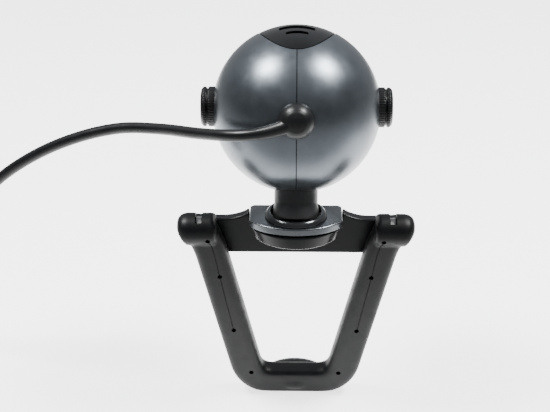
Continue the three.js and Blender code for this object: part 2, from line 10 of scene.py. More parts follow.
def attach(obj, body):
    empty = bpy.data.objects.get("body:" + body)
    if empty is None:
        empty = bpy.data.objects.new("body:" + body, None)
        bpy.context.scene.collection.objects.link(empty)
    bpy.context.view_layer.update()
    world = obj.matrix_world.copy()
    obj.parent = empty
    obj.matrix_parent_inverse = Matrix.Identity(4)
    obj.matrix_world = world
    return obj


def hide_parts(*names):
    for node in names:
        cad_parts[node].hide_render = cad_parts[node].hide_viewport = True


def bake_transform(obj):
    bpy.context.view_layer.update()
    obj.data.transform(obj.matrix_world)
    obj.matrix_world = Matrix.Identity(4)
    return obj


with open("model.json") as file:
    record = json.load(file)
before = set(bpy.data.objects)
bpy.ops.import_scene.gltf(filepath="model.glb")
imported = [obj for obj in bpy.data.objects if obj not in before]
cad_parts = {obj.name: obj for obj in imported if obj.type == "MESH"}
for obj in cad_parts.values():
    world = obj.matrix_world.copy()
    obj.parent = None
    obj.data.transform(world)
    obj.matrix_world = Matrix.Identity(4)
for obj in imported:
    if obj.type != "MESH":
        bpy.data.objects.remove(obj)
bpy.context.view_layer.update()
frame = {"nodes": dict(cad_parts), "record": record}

MM = 0.001

# ---------------------------------------------------------------- frames and sizes, in millimetres
JOINTS = {joint["name"]: joint for joint in frame["record"]["behaviour"]["joints"]}
TILT = Vector(JOINTS["head_tilt"]["pos_m"]) / MM
SHAFT = Vector(JOINTS["focus_turn"]["pos_m"]) / MM
FOLD = Vector(JOINTS["loop_fold"]["pos_m"]) / MM

LEAN = radians(24.5)
OPTIC_RISE = radians(12)
LOOP_LEAN = radians(10)
SHAFT_RISE = 0.6

HEAD_R = 29.0
HEAD_WALL = 2.4
GAP = 0.3
BAND_HALF = 13.7
BAND_AXIS = radians(23)
BAND_LENGTH = 26.0
BAND_FORE = 12.65
FASCIA_R = 17.0
KNOB_SEAT = 27.2
LIGHT_RISE = 13.6        # of the status light above the lens
TAB_X = 33.4
TAB_ROOM = 1.2           # half of the slot that a hinge tab turns in
NECK_R = 7.5
NECK_DROP = 35.5
BALL_R = 7.9
LEAD_R = 2.0

BASE = Matrix.Translation(TILT)
OPTIC = Matrix.Translation(SHAFT) @ Matrix.Rotation(OPTIC_RISE - LEAN, 4, "X")
HEAD = OPTIC @ Matrix.Rotation(-OPTIC_RISE, 4, "X") @ Matrix.Translation((0, 0, -SHAFT_RISE))
LOOP = Matrix.Translation(FOLD) @ Matrix.Rotation(LOOP_LEAN, 4, "X")
WORLD = Matrix.Identity(4)


# ---------------------------------------------------------------- camera
SENSOR_WIDTH = 36
LENS_LENGTH = 94.863
CAMERA_DISTANCE = 500.0          # from the ball's middle
CAMERA_DOWN = radians(25.5)
CAMERA_YAW = radians(0.854)
BALL_ASIDE = 0.0149              # how far the ball's middle stands off the camera's axis, as slopes
BALL_ABOVE = 0.0672


def make_camera():
    target = HEAD @ Vector((0, 0, 0))
    turn = Matrix.Rotation(CAMERA_YAW, 3, "Z") @ Matrix.Rotation(pi / 2 - CAMERA_DOWN, 3, "X")
    ray = Vector((BALL_ASIDE, BALL_ABOVE, -1)).normalized()
    place = target - CAMERA_DISTANCE * (turn @ ray)
    data = bpy.data.cameras.new("camera")
    data.sensor_width = SENSOR_WIDTH
    data.lens = LENS_LENGTH
    data.clip_start = 0.01
    data.clip_end = 20
    camera = bpy.data.objects.new("camera", data)
    camera.matrix_world = Matrix.Translation(place * MM) @ turn.to_4x4()
    bpy.context.scene.collection.objects.link(camera)
    bpy.context.scene.camera = camera


make_camera()


# ---------------------------------------------------------------- materials
def new_material(name):
    material = bpy.data.materials.new(name)
    material.use_nodes = True
    return material, material.node_tree, material.node_tree.nodes["Principled BSDF"]


def noise(tree, scale, detail=4, rough=0.5):
    place = tree.nodes.new("ShaderNodeTexCoord")
    node = tree.nodes.new("ShaderNodeTexNoise")
    node.inputs["Scale"].default_value = scale
    node.inputs["Detail"].default_value = detail
    node.inputs["Roughness"].default_value = rough
    tree.links.new(place.outputs["Object"], node.inputs["Vector"])
    return node.outputs["Fac"]


def spread(tree, value, low, high, start=0.3, end=0.7):
    node = tree.nodes.new("ShaderNodeMapRange")
    node.inputs["From Min"].default_value = start
    node.inputs["From Max"].default_value = end
    node.inputs["To Min"].default_value = low
    node.inputs["To Max"].default_value = high
    tree.links.new(value, node.inputs["Value"])
    return node.outputs["Result"]


def mix_colours(tree, value, first, second):
    node = tree.nodes.new("ShaderNodeMix")
    node.data_type = "RGBA"
    node.inputs["A"].default_value = (*first, 1)
    node.inputs["B"].default_value = (*second, 1)
    tree.links.new(value, node.inputs["Factor"])
    return node.outputs["Result"]


def bump(tree, shader, height, strength, distance):
    node = tree.nodes.new("ShaderNodeBump")
    node.inputs["Strength"].default_value = strength
    node.inputs["Distance"].default_value = distance
    tree.links.new(height, node.inputs["Height"])
    tree.links.new(node.outputs["Normal"], shader.inputs["Normal"])


def finish_material(name, dark, light, rough, metal=0.0, coat=0.0, coat_rough=0.1,
                    grain=1500, depth=0.02, grain_strength=0.15, cloud=120, specular=0.5):
    """Two close colours in slow clouds, roughness that varies, and a fine grain in the surface."""
    material, tree, shader = new_material(name)
    clouds = noise(tree, cloud, 3)
    fine = noise(tree, grain, 5, 0.6)
    tree.links.new(mix_colours(tree, spread(tree, clouds, 0, 1), dark, light), shader.inputs["Base Color"])
    tree.links.new(spread(tree, noise(tree, cloud * 2.3, 4), rough[0], rough[1]), shader.inputs["Roughness"])
    shader.inputs["Metallic"].default_value = metal
    shader.inputs["Coat Weight"].default_value = coat
    shader.inputs["Coat Roughness"].default_value = coat_rough
    shader.inputs["Specular IOR Level"].default_value = specular
    bump(tree, shader, fine, grain_strength, depth * MM)
    return material


def grey(level, tint=0.0):
    return (level * (1 - tint), level, level * (1 + tint))


M_SHELL = finish_material("gunmetal_paint", grey(0.11, 0.12), grey(0.128, 0.12), (0.28, 0.34), metal=0.9,
                          coat=0.15, coat_rough=0.25, grain=6000, grain_strength=0.02)
M_PLATE = finish_material("dark_plate_paint", grey(0.1, 0.08), grey(0.12, 0.08), (0.22, 0.28), metal=0.85,
                          coat=0.25, grain=5000, grain_strength=0.02)
M_BLACK = finish_material("gloss_black", grey(0.004, 0.1), grey(0.006, 0.1), (0.16, 0.22), grain=900,
                          grain_strength=0.03, specular=0.25)
M_POD = finish_material("pod_black", grey(0.003, 0.1), grey(0.005, 0.1), (0.2, 0.28), coat=0.08,
                        coat_rough=0.15, grain=900, grain_strength=0.02, specular=0.14)
M_BAR = finish_material("bar_black", grey(0.004, 0.1), grey(0.006, 0.1), (0.28, 0.36), grain=1800,
                        grain_strength=0.03, specular=0.25)
M_COLLAR = finish_material("collar_black", grey(0.035, 0.06), grey(0.045, 0.06), (0.16, 0.22), metal=0.7,
                           coat=0.3, grain_strength=0.02)
M_BOSS = finish_material("boss_black", grey(0.005, 0.06), grey(0.007, 0.06), (0.3, 0.38), grain=3000,
                         grain_strength=0.05, specular=0.3)
M_NECK = finish_material("neck_grey", grey(0.028, 0.03), grey(0.034, 0.03), (0.4, 0.5), grain=3000,
                         grain_strength=0.05, specular=0.45)
M_KNOB = finish_material("knob_black", grey(0.004, 0.05), grey(0.006, 0.05), (0.24, 0.32), grain=2600,
                         grain_strength=0.04, specular=0.3)
M_RUBBER = finish_material("soft_black", grey(0.003, 0.1), grey(0.005, 0.1), (0.42, 0.52), grain=4200,
                           grain_strength=0.15, specular=0.2)
M_LEAD = finish_material("lead_jacket", grey(0.005, 0.08), grey(0.007, 0.08), (0.28, 0.36), grain=3000,
                         grain_strength=0.05, specular=0.3)
M_STEEL = finish_material("plated_steel", grey(0.55), grey(0.62), (0.2, 0.3), metal=1, grain=2400)
M_TAB = finish_material("dark_steel", grey(0.16), grey(0.19), (0.3, 0.4), metal=1, grain=2400,
                        grain_strength=0.03)
M_ACETAL = finish_material("acetal", (0.7, 0.68, 0.6), (0.76, 0.74, 0.68), (0.4, 0.5))
M_GOLD = finish_material("contact_gold", (0.75, 0.55, 0.2), (0.82, 0.62, 0.26), (0.2, 0.3), metal=1)
M_BOARD = finish_material("board_green", (0.01, 0.1, 0.04), (0.02, 0.14, 0.06), (0.35, 0.5), coat=0.4)
M_INNER = finish_material("inner_black", grey(0.01), grey(0.014), (0.5, 0.6))
M_SENSOR = finish_material("sensor_dark", (0.02, 0.02, 0.05), (0.04, 0.03, 0.07), (0.1, 0.15))
M_LIGHT = finish_material("light_guide", (0.1, 0.3, 0.7), (0.15, 0.38, 0.8), (0.15, 0.25), coat=0.5)
M_TIE = finish_material("tie_weave", grey(0.012), grey(0.022), (0.75, 0.9), grain=2200, grain_strength=0.8,
                        depth=0.2, cloud=900)


def glass_material():
    material, tree, shader = new_material("coated_glass")
    tint = mix_colours(tree, spread(tree, noise(tree, 60, 2), 0, 1), (0.5, 0.45, 0.75), (0.45, 0.6, 0.72))
    tree.links.new(tint, shader.inputs["Base Color"])
    shader.inputs["Roughness"].default_value = 0.03
    shader.inputs["Transmission Weight"].default_value = 0.9
    shader.inputs["IOR"].default_value = 1.5
    shader.inputs["Coat Weight"].default_value = 0.5
    return material


M_GLASS = glass_material()


# ---------------------------------------------------------------- mesh tools
def smooth(obj, angle=32):
    obj.data.shade_smooth()
    obj.data.set_sharp_from_angle(angle=radians(angle))


def new_object(name, verts, faces, place, material, angle=32):
    """A closed mesh from millimetre points in a frame, in metres in the CAD's frame."""
    mesh = bpy.data.meshes.new(name)
    mesh.from_pydata([place @ Vector(v) * MM for v in verts], [], faces)
    work = bmesh.new()
    work.from_mesh(mesh)
    bmesh.ops.remove_doubles(work, verts=work.verts, dist=1e-7)
    bmesh.ops.recalc_face_normals(work, faces=work.faces)
    work.to_mesh(mesh)
    work.free()
    obj = bpy.data.objects.new(name, mesh)
    bpy.context.scene.collection.objects.link(obj)
    mesh.materials.append(material)
    smooth(obj, angle)
    return obj


def apply_modifiers(obj):
    graph = bpy.context.evaluated_depsgraph_get()
    graph.update()
    mesh = bpy.data.meshes.new_from_object(obj.evaluated_get(graph))
    old = obj.data
    obj.modifiers.clear()
    obj.data = mesh
    bpy.data.meshes.remove(old)


def bevelled(obj, width, segments=3, angle=40):
    modifier = obj.modifiers.new("bevel", "BEVEL")
    modifier.width = width * MM
    modifier.segments = segments
    modifier.limit_method = "ANGLE"
    modifier.angle_limit = radians(angle)
    apply_modifiers(obj)
    smooth(obj, 50)
    return obj


def flattened(obj):
    """Keeps the shading of broad flat faces flat up to their rounded edges."""
    modifier = obj.modifiers.new("weighted", "WEIGHTED_NORMAL")
    modifier.weight = 50
    modifier.keep_sharp = True
    apply_modifiers(obj)
    return obj


def boolean(obj, tool, operation="DIFFERENCE"):
    modifier = obj.modifiers.new("boolean", "BOOLEAN")
    modifier.object = tool
    modifier.operation = operation
    modifier.solver = "EXACT"
    apply_modifiers(obj)
    bpy.data.objects.remove(tool)
    smooth(obj)
    return obj


def carved(obj, *tools):
    for tool in tools:
        boolean(obj, tool)
    return obj


def soften(points, radius, closed=True, steps=4):
    """Rounds each corner of an outline with a short curve."""
    if not radius:
        return list(points)
    result = []
    count = len(points)
    for i, point in enumerate(points):
        p = Vector(point)
        if not closed and i in (0, count - 1):
            result.append(tuple(p))
            continue
        before = Vector(points[i - 1]) - p
        after = Vector(points[(i + 1) % count]) - p
        reach = min(radius, before.length * 0.45, after.length * 0.45)
        a = p + before.normalized() * reach
        b = p + after.normalized() * reach
        for k in range(steps + 1):
            t = k / steps
            result.append(tuple(a * (1 - t) ** 2 + p * 2 * t * (1 - t) + b * t ** 2))
    return result


def arc(centre, r, start, end, steps):
    """Points round an arc, angles in degrees."""
    angles = [radians(start + (end - start) * i / steps) for i in range(steps + 1)]
    return [(centre[0] + r * cos(a), centre[1] + r * sin(a)) for a in angles]


def lathe(name, profile, place, material, axis="Z", steps=96, rounding=0.25, flutes=None, angle=32):
    """Turns [r, along] points about an axis; a profile either ends on the axis or closes on itself."""
    on_axis = profile[0][0] == 0
    points = soften(profile, rounding, closed=not on_axis)
    verts = []
    faces = []
    for i in range(steps):
        a = 2 * pi * i / steps
        for r, along in points:
            radius = r
            if flutes and r > flutes[2]:
                radius -= flutes[1] * (0.5 + 0.5 * cos(flutes[0] * a)) ** 2
            u = radius * cos(a)
            v = radius * sin(a)
            verts.append({"Z": (u, v, along), "Y": (u, along, v), "X": (along, u, v)}[axis])
    n = len(points)
    last = n - 1 if on_axis else n
    for i in range(steps):
        j = (i + 1) % steps
        for k in range(last):
            m = (k + 1) % n
            faces.append((i * n + k, i * n + m, j * n + m, j * n + k))
    return new_object(name, verts, faces, place, material, angle)


def ball(name, r, place, material, steps=128):
    half = steps // 2
    profile = [(r * sin(pi * k / half), -r * cos(pi * k / half)) for k in range(half + 1)]
    profile[0] = (0, -r)
    profile[-1] = (0, r)
    return lathe(name, profile, place, material, "X", steps, 0)


def prism(name, outline, low, high, place, material, axis="Z", low_scale=(1, 1), about=(0, 0)):
    """An outline across an axis, carried from low to high along it; low_scale tapers the low end."""
    to_point = {
        "Z": lambda a, b, c: (a, b, c),
        "Y": lambda a, b, c: (a, c, b),
        "X": lambda a, b, c: (c, a, b),
    }[axis]
    n = len(outline)
    (ca, cb), (sa, sb) = about, low_scale
    verts = [to_point(ca + (a - ca) * sa, cb + (b - cb) * sb, low) for a, b in outline]
    verts += [to_point(a, b, high) for a, b in outline]
    faces = [tuple(range(n)), tuple(range(n, 2 * n))]
    faces += [(k, (k + 1) % n, n + (k + 1) % n, n + k) for k in range(n)]
    return new_object(name, verts, faces, place, material)


def rod(name, r, low, high, place, material, axis="Z", steps=64):
    return prism(name, arc((0, 0), r, 0, 360, steps)[:-1], low, high, place, material, axis)


def cuboid(name, low, high, place, material):
    outline = [(low[0], low[1]), (high[0], low[1]), (high[0], high[1]), (low[0], high[1])]
    return prism(name, outline, low[2], high[2], place, material)


def sweep(name, section, path, place, material, side=(0, 1, 0), sizes=None, angle=40):
    """Carries a section of (across, along side) points down a path; sizes scales it at each point."""
    verts = []
    n = len(section)
    count = len(path)
    lean = Vector(side)
    for i, point in enumerate(path):
        here = Vector(point)
        ahead = (Vector(path[min(i + 1, count - 1)]) - Vector(path[max(i - 1, 0)])).normalized()
        up = (lean - ahead * lean.dot(ahead)).normalized()
        across = up.cross(ahead)
        lean = up
        scale = sizes[i] if sizes else 1
        verts += [tuple(here + across * a * scale + up * b * scale) for a, b in section]
    faces = [tuple(range(n)), tuple(range((count - 1) * n, count * n))]
    for i in range(count - 1):
        for k in range(n):
            m = (k + 1) % n
            faces.append((i * n + k, i * n + m, (i + 1) * n + m, (i + 1) * n + k))
    return new_object(name, verts, faces, place, material, angle)


def spline(points, step):
    """Evenly stepped points on a centripetal Catmull-Rom curve through the given points."""
    pts = [Vector(p) for p in points]
    pts = [2 * pts[0] - pts[1]] + pts + [2 * pts[-1] - pts[-2]]
    dense = []
    for i in range(1, len(pts) - 2):
        p0, p1, p2, p3 = pts[i - 1:i + 3]
        k1 = (p1 - p0).length ** 0.5
        k2 = k1 + (p2 - p1).length ** 0.5
        k3 = k2 + (p3 - p2).length ** 0.5
        count = max(2, int((p2 - p1).length / step))
        for j in range(count):
            t = k1 + (k2 - k1) * j / count
            a1 = p0 * (k1 - t) / k1 + p1 * t / k1
            a2 = p1 * (k2 - t) / (k2 - k1) + p2 * (t - k1) / (k2 - k1)
            a3 = p2 * (k3 - t) / (k3 - k2) + p3 * (t - k2) / (k3 - k2)
            b1 = a1 * (k2 - t) / k2 + a2 * t / k2
            b2 = a2 * (k3 - t) / (k3 - k1) + a3 * (t - k1) / (k3 - k1)
            dense.append(b1 * (k2 - t) / (k2 - k1) + b2 * (t - k1) / (k2 - k1))
    dense.append(pts[-2])
    return dense


def outward(side, near, far):
    """The low and high X of a span on one side."""
    return sorted((side * near, side * far))


def stands_for(obj, body, slot, *nodes):
    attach(obj, body)
    if nodes:
        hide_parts(*nodes)
    return obj


# ---------------------------------------------------------------- lead, coil and plug
COIL_X = -167.0
COIL_Y = 2.0
COIL_R = 30.5            # outermost turn, at the middle of the lead
TURN_STEP = 4.1          # from one turn to the next, and from layer to layer
LAYER_TURNS = 3.25
LAYER_Z = 3.25
START_ANGLE = 80
RISE_ANGLE = 90          # how far the lead turns while it climbs a layer
LAST_ANGLE = 100         # and while it climbs to the plug
PLUG_TAIL = Vector((-163, -15.2, 17.8))

LEAD_ROUTE = [
    (-12.6, -30.4, 113.5), (-17, -29.9, 112.8), (-23, -27.2, 111.6), (-32.5, -19, 108.8),
    (-47, -6, 105), (-62, 3, 101.4), (-78, 8, 95.6), (-94, 12, 87), (-109, 15.5, 75.4),
    (-121, 18.5, 60.8), (-130, 21.5, 44.2), (-137, 25, 27.6), (-143, 29, 14), (-150, 33, 6.6),
]


def coil_point(angle, r, z):
    return Vector((COIL_X + r * cos(radians(angle)), COIL_Y + r * sin(radians(angle)), z))


def eased(t):
    return 3 * t * t - 2 * t ** 3


def coil_route():
    """Three layers, wound in, out and in again, then up on to the coil to the plug."""
    points = []
    angle = START_ANGLE
    inner = COIL_R - TURN_STEP * LAYER_TURNS
    per_turn = 30
    count = int(LAYER_TURNS * per_turn)
    for layer in range(3):
        z = LAYER_Z + TURN_STEP * layer
        begin, end = (COIL_R, inner) if layer % 2 == 0 else (inner, COIL_R)
        for k in range(count + 1):
            t = k / count
            points.append(coil_point(angle + 360 * LAYER_TURNS * t, begin + (end - begin) * t, z))
        angle += 360 * LAYER_TURNS
        if layer < 2:
            for k in range(1, 8):
                t = k / 8
                points.append(coil_point(angle + RISE_ANGLE * t, end, z + TURN_STEP * eased(t)))
            angle += RISE_ANGLE
    top = LAYER_Z + 2 * TURN_STEP
    for k in range(1, 13):
        t = k / 12
        points.append(coil_point(angle + LAST_ANGLE * t, inner, top + (PLUG_TAIL.z - top) * eased(t)))
    points.append(PLUG_TAIL.copy())
    return points


def make_lead():
    route = spline(LEAD_ROUTE, 2.5)
    coil = coil_route()
    joined = route + spline([route[-1], coil[0]], 2.5)[1:-1] + coil
    section = arc((0, 0), LEAD_R, 0, 360, 14)[:-1]
    lead = sweep("lead", section, joined, WORLD, M_LEAD, side=(0, 0, 1), angle=60)
    return lead, joined


def make_plug():
    place = Matrix.Translation(PLUG_TAIL)
    outline = soften([(6, -7.8), (27.9, -7.8), (27.9, 7.8), (6, 7.8)], 2.4, steps=6)
    body = bevelled(prism("plug_overmould", outline, -3.9, 3.9, place, M_LEAD), 0.7, 3)
    for k in range(5):
        x = 11 + 2.2 * k
        for z in (-3.9, 3.9):
            carved(body, cuboid("cut", (x, -5.4, z - 0.35), (x + 1, 5.4, z + 0.35), place, M_LEAD))
    ribs = [(2.02, 0)]
    for k in range(4):
        ribs += [(2.75, 0.2 + 1.5 * k), (2.75, 1.0 + 1.5 * k), (2.3, 1.15 + 1.5 * k), (2.3, 1.5 + 1.5 * k)]
    boot = lathe("plug_boot", ribs + [(3.4, 6.3), (2.02, 6.3)], place, M_LEAD, "X", 40, 0.15)
    stands_for(body, "swivel", "lead_pvc", "plug_body")
    stands_for(boot, "swivel", "lead_pvc")

    shell = bevelled(cuboid("plug_shell_fine", (28.2, -6, -2.25), (40.2, 6, 2.25), place, M_STEEL), 0.35, 3)
    hollow = cuboid("cut", (29, -5.65, -1.9), (42, 5.65, 1.9), place, M_STEEL)
    windows = [cuboid("cut", (32.4, y - 1.2, -4), (34.8, y + 1.2, 4), place, M_STEEL) for y in (-2.9, 2.9)]
    carved(shell, hollow, *windows)
    stands_for(shell, "swivel", "steel", "plug_shell")

    tongue = cuboid("plug_tongue_fine", (29.2, -5.2, -1.6), (39.7, 5.2, -0.2), place, M_ACETAL)
    bevelled(tongue, 0.15, 2)
    stands_for(tongue, "swivel", "acetal", "plug_tongue")
    contacts = []
    for k, y in enumerate((-3.5, -1, 1, 3.5)):
        strip = cuboid(f"plug_contact_{k + 1}", (32, y - 0.5, -0.25), (39, y + 0.5, -0.08), place, M_GOLD)
        contacts.append(stands_for(bevelled(strip, 0.05, 1), "swivel", "steel"))
    return [body, boot, shell, tongue, *contacts]


def make_tie():
    """A woven strap round the coil's turns."""
    low, high = 14.1, 33.7
    bottom, top = 0.25, 14.5
    loop = soften([(low, bottom), (high, bottom), (high, top), (low, top)], 2.2, steps=6)
    hole = soften([(low + 0.6, bottom + 0.6), (high - 0.6, bottom + 0.6), (high - 0.6, top - 0.6),
                   (low + 0.6, top - 0.6)], 1.8, steps=6)
    place = Matrix.Translation((COIL_X, COIL_Y, 0))
    strap = prism("tie_strap", loop, -4, 4, place, M_TIE, "Y")
    carved(strap, prism("cut", hole, -6, 6, place, M_TIE, "Y"))
    bevelled(strap, 0.15, 2)
    return stands_for(strap, "swivel", "tie_black", "lead_tie")


lead, lead_path = make_lead()
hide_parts("lead_tube", "lead_coil", "lead_tail")
plug_pieces = make_plug()
tie = make_tie()
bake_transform(lead)


# ---------------------------------------------------------------- head
def band_cutter(inset):
    """The crown band's outline: straight sides, and an elliptical end behind the crown."""
    half = BAND_HALF - inset
    stretch = (BAND_LENGTH - inset) / half
    end = [(x, BAND_FORE + y * stretch) for x, y in arc((0, 0), half, 180, 360, 56)]
    place = HEAD @ Matrix.Rotation(BAND_AXIS, 4, "X")
    return prism("cut", [(half, 45), (-half, 45)] + end, 6, 45, place, M_BLACK)


def fascia_cutter(r):
    return rod("cut", r, 5, 50, OPTIC, M_BLACK, "Y", 96)


def hollow_ball(name, outer, inner, material):
    return carved(ball(name, outer, HEAD, material), ball("cut", inner, HEAD, material, 64))


def half_space(side):
    low, high = outward(side, GAP / 2, 50)
    return cuboid("cut", (low, -50, -28.1), (high, 50, 50), HEAD, M_SHELL)


def make_shells():
    for word, side in (("left", -1), ("right", 1)):
        shell = hollow_ball(f"shell_{word}", HEAD_R, HEAD_R - HEAD_WALL, M_SHELL)
        boolean(shell, half_space(side), "INTERSECT")
        carved(
            shell,
            band_cutter(-0.2),
            fascia_cutter(FASCIA_R + 0.15),
            rod("cut", 4.4, -45, -5, OPTIC, M_SHELL, "Y"),
            rod("cut", 2.2, *outward(side, 10, 45), OPTIC, M_SHELL, "X"),
            rod("cut", 7.2, *outward(side, KNOB_SEAT, 45), OPTIC, M_SHELL, "X", 96),
            rod("cut", NECK_R + 0.15, -40, -10, HEAD, M_SHELL, "Z", 96),
        )
        stands_for(shell, "head", "shell_paint", f"head_shell_{word}")
    # the tongue behind the seam, which closes it to light
    profile = [(26.2, -1.4), (26.5, -1.4), (26.5, 1.4), (26.2, 1.4)]
    tongue = lathe("seam_tongue", profile, HEAD, M_INNER, "X", 128, 0)
    boss_hole = rod("cut", 5.5, -45, -5, OPTIC, M_SHELL, "Y")
    neck_hole = rod("cut", 9.6, -40, -10, HEAD, M_SHELL)
    carved(tongue, band_cutter(-1), fascia_cutter(FASCIA_R + 1), boss_hole, neck_hole)
    stands_for(tongue, "head", "inner_black")
    backing = hollow_ball("band_backing", 26.4, 26, M_INNER)
    boolean(backing, band_cutter(-2.2), "INTERSECT")
    carved(backing, band_cutter(2), fascia_cutter(FASCIA_R + 0.5))
    stands_for(backing, "head", "inner_black")


SLOTS = ((6.1, 3.4, 21.6, -1.3), (3.8, 2, 31.4, -0.8))   # half length, width, degrees back and bow of each


def slot_outline(half, width, bow):
    """A long slot with bowed edges."""
    outline = []
    for k in range(13):
        x = half * (1 - 2 * k / 12)
        outline.append((x, width / 2 + bow * (x / half) ** 2 - bow / 2))
    for k in range(13):
        x = half * (2 * k / 12 - 1)
        outline.append((x, -width / 2 + bow * (x / half) ** 2 * 0.6 - bow / 2))
    return soften(outline, 0.3)


def make_band():
    band = hollow_ball("crown_band_fine", HEAD_R - 0.12, HEAD_R - HEAD_WALL, M_BLACK)
    boolean(band, band_cutter(0.25), "INTERSECT")
    carved(band, fascia_cutter(FASCIA_R + 0.15))
    for half, width, back, bow in SLOTS:
        place = HEAD @ Matrix.Rotation(radians(back), 4, "X")
        carved(band, prism("cut", slot_outline(half, width, bow), 20, 40, place, M_BLACK))
    stands_for(band, "head", "gloss_black", "crown_band")
    # dust mesh behind the slots
    gauze_place = HEAD @ Matrix.Rotation(radians(26), 4, "X")
    gauze = cuboid("slot_gauze", (-7.5, -6.5, 24.4), (7.5, 6.5, 24.7), gauze_place, M_INNER)
    stands_for(bevelled(gauze, 0.1, 1), "head", "inner_black")


def make_fascia():
    face = hollow_ball("front_fascia_fine", HEAD_R - 0.12, HEAD_R - HEAD_WALL - 0.6, M_BLACK)
    boolean(face, fascia_cutter(FASCIA_R - 0.15), "INTERSECT")
    light_place = OPTIC @ Matrix.Translation((0, 0, LIGHT_RISE))
    lens_hole = rod("cut", 10.4, 5, 50, OPTIC, M_BLACK, "Y", 96)
    light_hole = rod("cut", 1.3, 5, 50, light_place, M_BLACK, "Y", 32)
    carved(face, lens_hole, light_hole)
    stands_for(face, "head", "gloss_black", "front_fascia")
    profile = [(0, 20.5), (1, 20.5), (1, 25.2), (0.7, 25.5), (0, 25.6)]
    light = lathe("status_light_fine", profile, light_place, M_LIGHT, "Y", 40, 0.1)
    stands_for(light, "head", "light_lens", "status_light")


def make_lens():
    profile = [(9, 30.3), (10.5, 30.3), (10.5, 28), (12.4, 26.7), (12.4, 28.6), (11.6, 30.2), (10.2, 31),
               (9.3, 31)]
    bezel = lathe("lens_bezel_fine", profile, OPTIC, M_PLATE, "Y", 128, 0.35)
    stands_for(bezel, "head", "plate_paint", "lens_bezel")
    profile = [(4.8, 27.2), (6.4, 26.1), (6.5, 28.5), (8.6, 28.4), (8.6, 29.6), (8, 29.6), (7.6, 29.2),
               (7.2, 29.5), (6.8, 29.1), (6.4, 29.4), (6, 28.9), (5.6, 29.2), (5.2, 28.2)]
    ring = lathe("lens_ring_fine", profile, OPTIC, M_BLACK, "Y", 96, 0.12)
    stands_for(ring, "lens", "gloss_black", "lens_retaining_ring")
    profile = [(0, 24.2), (6.5, 24.2), (6.5, 25.3), (5.4, 25.9), (3.6, 26.5), (1.8, 26.82), (0, 26.9)]
    front = lathe("front_glass", profile, OPTIC, M_GLASS, "Y", 80, 0.4)
    stands_for(front, "lens", "lens_glass", "lens_front_element")
    profile = [(0, 18), (3.4, 18.2), (6.5, 18.6), (6.5, 20), (0, 20)]
    rear = lathe("rear_glass", profile, OPTIC, M_GLASS, "Y", 64, 0.3)
    stands_for(rear, "lens", "lens_glass", "lens_rear_element")


KNOB_RIBS = (48, 0.13, 6.45)     # how many, how deep, and the radius beyond which they are cut


def make_knobs():
    """A rim with fine ribs and a shallow groove, a dished face and a small cap at the middle."""
    for word, side in (("left", -1), ("right", 1)):
        profile = [(0, 31.95), (1.6, 31.95), (1.6, 29.2), (3, 29.2), (5, 27.5), (6.7, 27.55), (6.9, 27.8),
                   (6.9, 30.1), (6.3, 30.4), (6.3, 30.8), (6.85, 31.05), (6.85, 31.9), (6.1, 32.7),
                   (5, 32.95), (4.2, 32.6), (2.2, 32.5), (2, 32.9), (0, 33)]
        points = [(r, side * x) for r, x in profile]
        knob = lathe(f"knob_{word}", points, OPTIC, M_KNOB, "X", 240, 0.12, flutes=KNOB_RIBS, angle=50)
        stands_for(knob, "focus_drive", "knob_black", f"focus_knob_{word}")


def blended(obj, voxel, rounds):
    """Melts joined shapes into one skin, with the inside corners filled."""
    remesh = obj.modifiers.new("remesh", "REMESH")
    remesh.mode = "VOXEL"
    remesh.voxel_size = voxel * MM
    relax = obj.modifiers.new("smooth", "SMOOTH")
    relax.factor = 0.5
    relax.iterations = rounds
    material = obj.data.materials[0]
    apply_modifiers(obj)
    obj.data.materials.clear()
    obj.data.materials.append(material)
    return obj


def make_boss():
    dome = [(0, -23.5), (4, -23.5), (4, -28.7), (6.1, -28.7), (6.15, -29.6), (5.9, -30.6), (5.4, -31.6),
            (4.6, -32.6), (3.4, -33.5), (1.8, -34), (0, -34.2)]
    boss = lathe("boss_dome", dome, OPTIC, M_BOSS, "Y", 96, 0.3, angle=50)
    exit_way = (Vector(LEAD_ROUTE[1]) - Vector(LEAD_ROUTE[0])).normalized()
    start = OPTIC @ Vector((1.5, -30.4, 0.4))
    end = Vector(LEAD_ROUTE[0]) + exit_way * 2
    bend = end - exit_way * 8
    path = []
    for k in range(25):
        t = k / 24
        path.append(start * (1 - t) ** 2 + bend * 2 * t * (1 - t) + end * t ** 2)
    sizes = [1.07 + 0.5 * (1 - k / 24) ** 2 for k in range(25)]
    section = arc((0, 0), LEAD_R, 0, 360, 28)[:-1]
    relief = sweep("strain_relief", section, path, WORLD, M_BOSS, side=(0, 0, 1), sizes=sizes, angle=60)
    boolean(boss, relief, "UNION")
    blended(boss, 0.22, 9)
    trim = Matrix.Translation(LEAD_ROUTE[0]) @ exit_way.to_track_quat("X", "Z").to_matrix().to_4x4()
    boolean(boss, rod("cut", 5, 0.05, 6, trim, M_BOSS, "X"))
    boss.data.shade_smooth()
    stands_for(boss, "head", "gloss_black", "cable_boss")


def make_neck():
    ball_end = arc((0, -NECK_DROP), BALL_R, -18.4, 17, 12)
    profile = [(0, -NECK_DROP - 2.5), *ball_end, (NECK_R - 0.05, -NECK_DROP + 3), (NECK_R, -24.3),
               (9.4, -24.3), (9.4, -23), (0, -23)]
    neck = lathe("neck_fine", profile, HEAD, M_NECK, "Z", 112, 0.15, angle=45)
    stands_for(neck, "head", "neck_grey", "neck")


